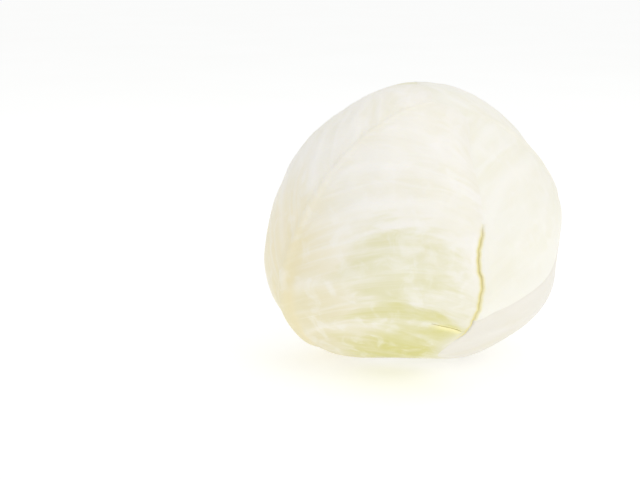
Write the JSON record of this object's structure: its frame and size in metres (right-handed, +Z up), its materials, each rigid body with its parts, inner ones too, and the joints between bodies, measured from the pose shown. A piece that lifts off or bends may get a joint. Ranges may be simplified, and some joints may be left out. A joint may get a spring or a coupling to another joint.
{
  "type": "cabbage head",
  "caption": "Whole white cabbage head: pale waxy wrapper leaves with a raised midrib and side veins folded round a packed heart on a cut stem, resting on a small flat spot",
  "frame": {"origin": "middle of the flat spot under the head that it rests on", "axes": "+Z up, -Y towards the side with the big front leaf and the crevice, +X to the right seen from there; the stem points down and to the back"},
  "size_m": [0.1809, 0.1703, 0.1686],
  "materials": {
    "stem": "pale fibrous cut stem, slightly dried and matt",
    "heart": "cream white packed leaves, satin and waxy",
    "wrapper_leaf": "waxy satin leaf, cream white with pale green between the veins",
    "inner_leaf": "waxy satin leaf, whiter than the wrapper leaves"
  },
  "bodies": {
    "root": {"stem": "stem", "heart": "heart", "front_leaf": "wrapper_leaf", "right_leaf": "wrapper_leaf", "left_leaf": "wrapper_leaf", "inner_leaf": "inner_leaf"}
  },
  "joints": []
}
